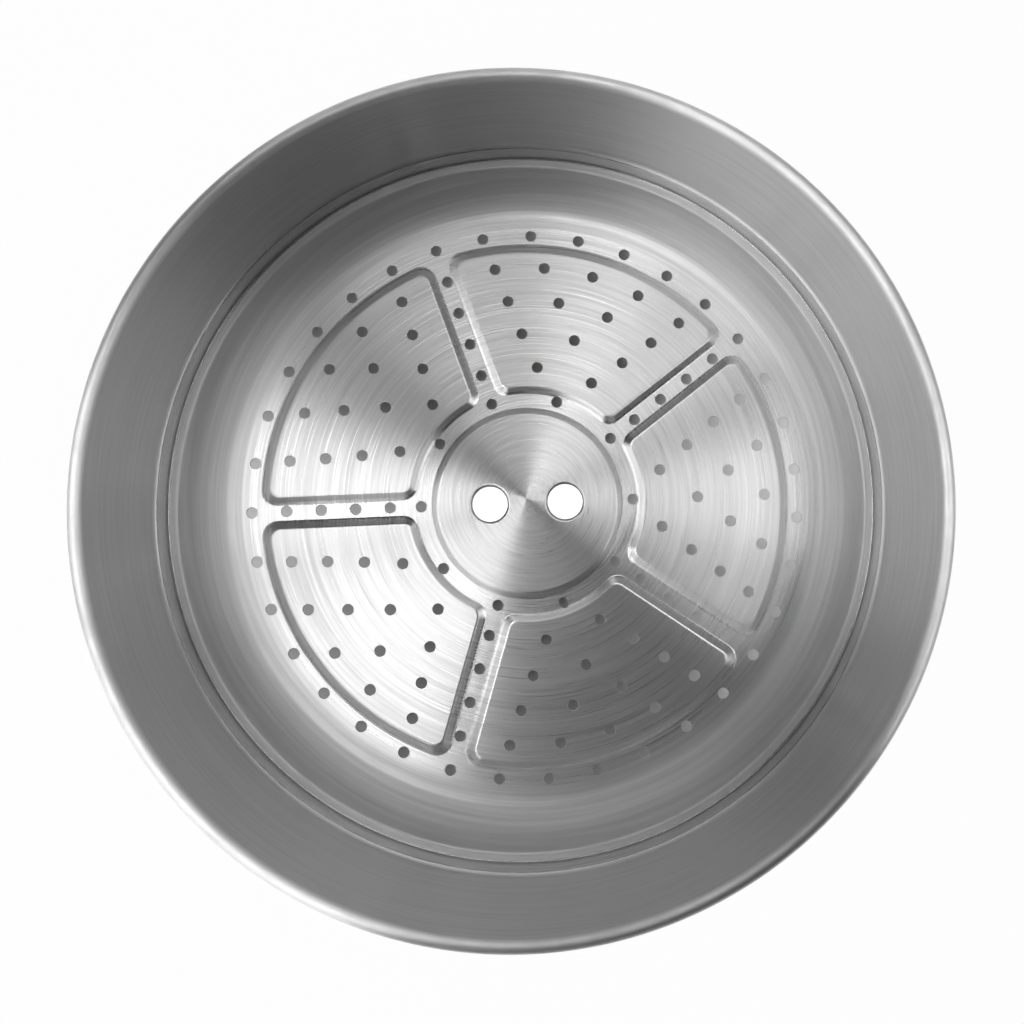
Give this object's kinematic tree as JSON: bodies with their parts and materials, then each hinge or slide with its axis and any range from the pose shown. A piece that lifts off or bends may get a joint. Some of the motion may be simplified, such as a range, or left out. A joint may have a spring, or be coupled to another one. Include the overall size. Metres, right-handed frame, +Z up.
{
  "type": "steamer pot tier",
  "caption": "Round steel steamer tier: straight-walled ring with a rolled rim, a ledge and a spigot, and a dished perforated plate with raised fan panels that lifts out.",
  "frame": {"origin": "middle of the foot's underside, on the surface that the tier stands on", "axes": "+Z up along the axis of the ring and the plate, +X through the two finger holes"},
  "size_m": [0.2896, 0.2896, 0.076],
  "materials": {
    "satin_ring_steel": "satin, brushed round the wall",
    "turned_plate_steel": "bright, with fine concentric turning marks"
  },
  "bodies": {
    "ring": {"tier_ring": "satin_ring_steel"},
    "plate": {"steam_plate": "turned_plate_steel"}
  },
  "joints": [
    {"name": "plate_lift", "type": "slide", "parent": "ring", "child": "plate", "axis": [0, 0, 1], "range_m": [0, 0.078]}
  ]
}
